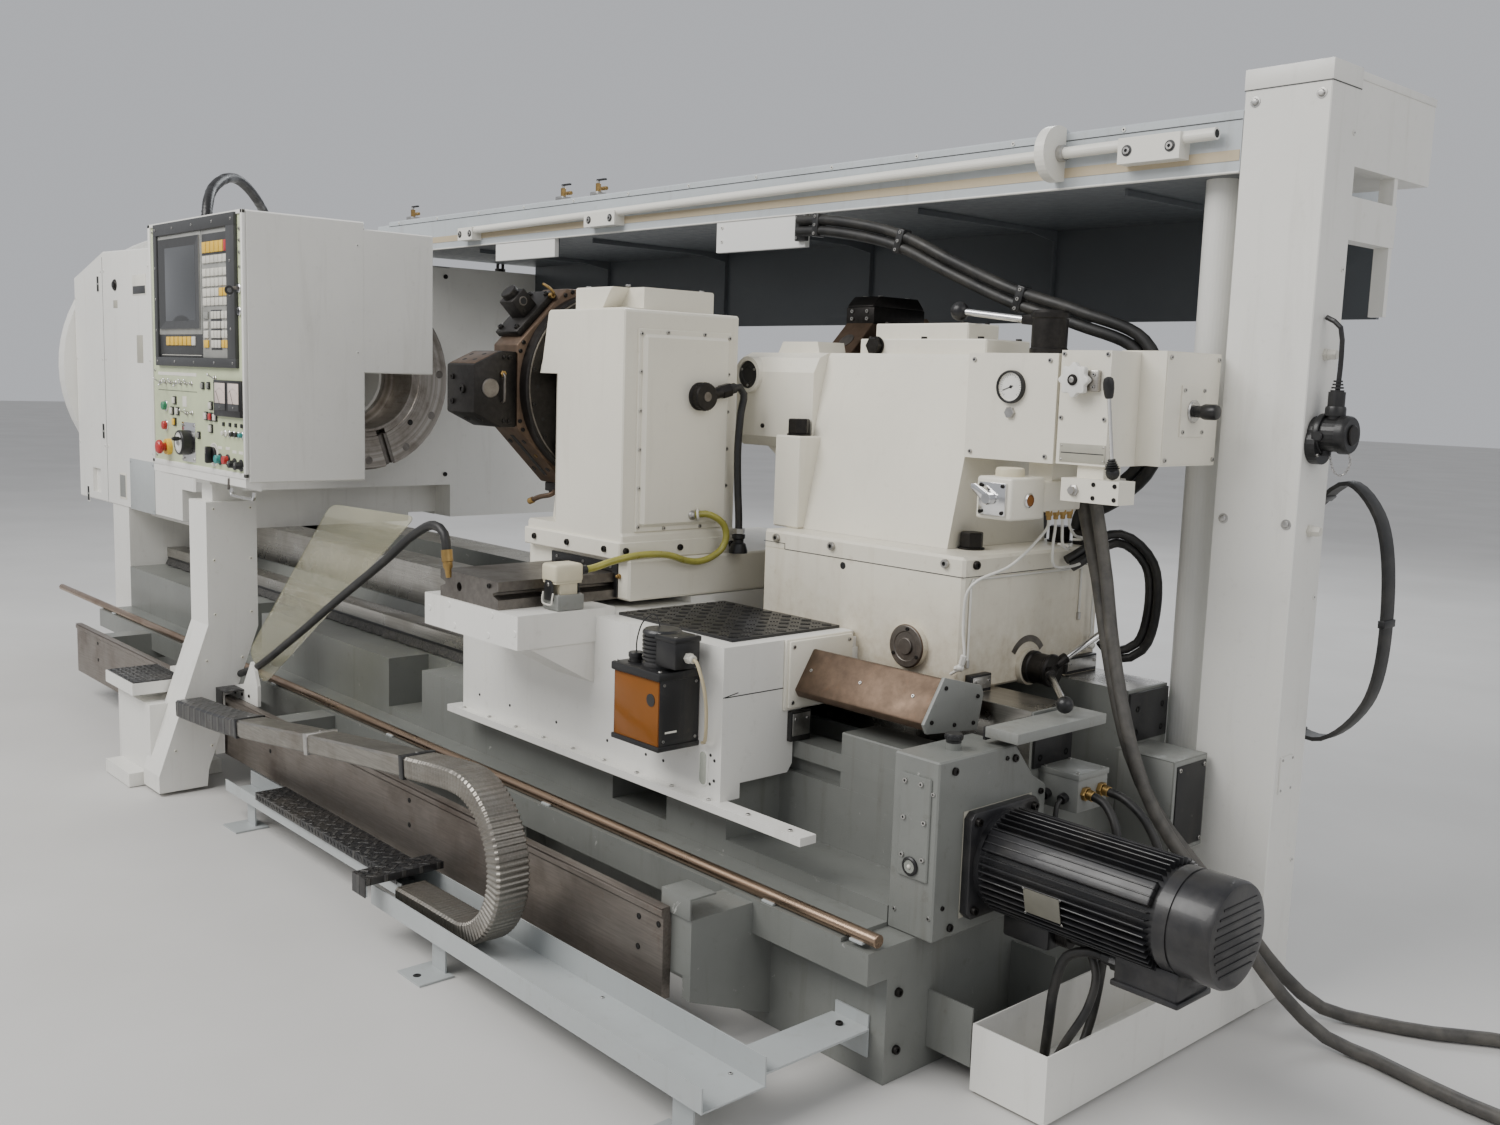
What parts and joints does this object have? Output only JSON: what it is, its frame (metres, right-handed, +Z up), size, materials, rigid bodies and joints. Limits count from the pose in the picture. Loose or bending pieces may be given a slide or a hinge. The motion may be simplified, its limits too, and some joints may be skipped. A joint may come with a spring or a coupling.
{
  "type": "cnc turning lathe",
  "caption": "Long-bed CNC lathe: headstock with through-bore chuck, carriage with turret, tailstock with quill, rear turret, operator pendant on a sliding pedestal and a cable canopy.",
  "frame": {"origin": "on the floor plane under the spindle axis, in the underside of the bed, 1.26 m along from the chuck's front face towards the tailstock", "axes": "+X along the spindle axis from the headstock towards the tailstock and feed motor, +Y from the operator's side to the back, +Z up"},
  "size_m": [6.0535, 2.076, 1.882],
  "materials": {
    "cream_paint": "satin cream-white enamel, oily and stained in places",
    "grey_casting": "worn grey paint on castings",
    "light_blue_grey_paint": "satin light grey sheet metal",
    "black_paint": "black oxide or black paint, oily",
    "black_plastic": "black plastic",
    "machined_steel": "ground and turned steel with a film of oil",
    "browned_steel": "browned, oily steel",
    "oil_tank_plastic": "amber see-through tank plastic",
    "bright_chrome": "bright plating",
    "red_plastic": "red plastic",
    "clear_shield": "yellowed clear sheet",
    "black_rubber": "oily black rubber hose"
  },
  "bodies": {
    "frame": {"bed": "grey_casting", "guide_rod": "machined_steel", "rail_beam": "browned_steel", "front_trough": "light_blue_grey_paint", "headstock": "cream_paint", "headstock_guard": "cream_paint", "feed_gearbox": "grey_casting", "feed_motor": "black_paint", "chip_tray": "grey_casting", "right_trough": "cream_paint", "column": "cream_paint", "canopy": "light_blue_grey_paint", "column_socket": "black_plastic", "column_hoop": "black_rubber", "hose_coil": "black_rubber", "hose_fitting_a": "machined_steel", "hose_fitting_b": "machined_steel", "pressure_hose": "black_rubber", "return_hose": "black_rubber", "pendant_conduit": "black_rubber", "pedestal_conduit": "machined_steel"},
    "rear_slide": {"rear_turret": "black_paint"},
    "rear_disc": {"rear_turret_disc": "browned_steel"},
    "spindle": {"chuck_body": "machined_steel"},
    "jaw_1": {"chuck_jaw_1": "machined_steel"},
    "jaw_2": {"chuck_jaw_2": "machined_steel"},
    "jaw_3": {"chuck_jaw_3": "machined_steel"},
    "carriage": {"carriage": "cream_paint", "cross_way": "machined_steel", "lube_tank": "oil_tank_plastic", "way_cover": "browned_steel", "connector_box": "cream_paint"},
    "cross_slide": {"cross_slide": "cream_paint", "turret_housing": "cream_paint", "turret_socket": "black_paint"},
    "turret": {"turret_disc": "browned_steel", "tool_holder": "black_paint", "boring_holder": "black_paint", "coolant_nozzle": "black_paint"},
    "tailstock": {"tailstock_base": "cream_paint", "tailstock_body": "cream_paint", "control_boxes": "cream_paint", "lubricator": "cream_paint", "overhead_hose": "black_rubber", "rear_loop": "black_rubber"},
    "quill": {"quill": "machined_steel"},
    "rack_lever": {"rack_lever": "black_paint"},
    "clamp_lever": {"clamp_lever": "black_paint"},
    "star_knob": {"star_knob": "cream_paint"},
    "push_knob": {"push_knob": "black_plastic"},
    "joystick": {"joystick": "black_plastic"},
    "lubricator_handle": {"lubricator_handle": "bright_chrome"},
    "pedestal": {"pedestal": "cream_paint", "shield": "clear_shield"},
    "pendant": {"pendant_box": "cream_paint", "pendant_panel": "black_paint", "pendant_handle": "bright_chrome"},
    "mpg_wheel": {"mpg_wheel": "black_paint"},
    "e_stop": {"e_stop": "red_plastic"},
    "mode_selector": {"mode_selector": "black_paint"}
  },
  "joints": [
    {"name": "spindle_spin", "type": "hinge", "parent": "frame", "child": "spindle", "pos_m": [-1.35, 0, 1.216], "axis": [1, 0, 0], "continuous": true},
    {"name": "jaw_1_slide", "type": "slide", "parent": "spindle", "child": "jaw_1", "axis": [0, 0.309, -0.9511], "range_m": [-0.015, 0.018]},
    {"name": "jaw_2_slide", "type": "slide", "parent": "spindle", "child": "jaw_2", "axis": [0, 0.6691, 0.7431], "range_m": [-0.015, 0.018]},
    {"name": "jaw_3_slide", "type": "slide", "parent": "spindle", "child": "jaw_3", "axis": [0, -0.9781, 0.2079], "range_m": [-0.015, 0.018]},
    {"name": "carriage_slide", "type": "slide", "parent": "frame", "child": "carriage", "axis": [1, 0, 0], "range_m": [-0.5, 0.03]},
    {"name": "cross_slide_feed", "type": "slide", "parent": "carriage", "child": "cross_slide", "axis": [0, 1, 0], "range_m": [-0.1, 0.02]},
    {"name": "turret_index", "type": "hinge", "parent": "cross_slide", "child": "turret", "pos_m": [0.545, -0.28, 1.216], "axis": [1, 0, 0], "continuous": true},
    {"name": "tailstock_slide", "type": "slide", "parent": "frame", "child": "tailstock", "axis": [1, 0, 0], "range_m": [-0.05, 0], "deforming": ["overhead_hose"]},
    {"name": "quill_slide", "type": "slide", "parent": "tailstock", "child": "quill", "axis": [1, 0, 0], "range_m": [-0.1, 0.01]},
    {"name": "clamp_lever_turn", "type": "hinge", "parent": "tailstock", "child": "clamp_lever", "pos_m": [1.765, 0.03, 1.36], "axis": [0, 0, 1], "range_deg": [-15, 90]},
    {"name": "rack_lever_turn", "type": "hinge", "parent": "tailstock", "child": "rack_lever", "pos_m": [1.79, 0, 0.665], "axis": [1, 0, 0], "range_deg": [-25, 0]},
    {"name": "star_knob_turn", "type": "hinge", "parent": "tailstock", "child": "star_knob", "pos_m": [1.939, -0.121, 1.269], "axis": [0, 1, 0], "continuous": true},
    {"name": "push_knob_press", "type": "slide", "parent": "tailstock", "child": "push_knob", "axis": [-1, 0, 0], "range_m": [0, 0.003], "stiffness_N_per_m": 400, "springref_m": -0.002},
    {"name": "joystick_tilt", "type": "hinge", "parent": "tailstock", "child": "joystick", "pos_m": [2.022, -0.098, 1.0942], "axis": [0, 1, 0], "range_deg": [-10, 10], "stiffness_Nm_per_rad": 1},
    {"name": "lubricator_handle_turn", "type": "hinge", "parent": "tailstock", "child": "lubricator_handle", "pos_m": [1.82, -0.2063, 1.032], "axis": [0, 1, 0], "range_deg": [-45, 45]},
    {"name": "pedestal_slide", "type": "slide", "parent": "frame", "child": "pedestal", "axis": [1, 0, 0], "range_m": [-0.4, 0], "deforming": ["pedestal_conduit"]},
    {"name": "pendant_swivel", "type": "hinge", "parent": "pedestal", "child": "pendant", "pos_m": [-0.535, -0.815, 0.93], "axis": [0, 0, 1], "range_deg": [-30, 30]},
    {"name": "mpg_wheel_turn", "type": "hinge", "parent": "pendant", "child": "mpg_wheel", "pos_m": [-0.548, -0.8973, 1.018], "axis": [0, 1, 0], "continuous": true},
    {"name": "e_stop_press", "type": "slide", "parent": "pendant", "child": "e_stop", "axis": [0, 1, 0], "range_m": [0, 0.004], "stiffness_N_per_m": 400, "springref_m": -0.002},
    {"name": "mode_selector_turn", "type": "hinge", "parent": "pendant", "child": "mode_selector", "pos_m": [-0.36, -0.8973, 0.994], "axis": [0, 1, 0], "range_deg": [-60, 60]},
    {"name": "rear_turret_slide", "type": "slide", "parent": "frame", "child": "rear_slide", "axis": [1, 0, 0], "range_m": [0, 0.4]},
    {"name": "rear_turret_index", "type": "hinge", "parent": "rear_slide", "child": "rear_disc", "pos_m": [0.87, 0.52, 1.19], "axis": [1, 0, 0], "continuous": true}
  ],
  "couplings": [
    {"joint": "jaw_2_slide", "follows": "jaw_1_slide", "ratio": 1},
    {"joint": "jaw_3_slide", "follows": "jaw_1_slide", "ratio": 1}
  ]
}
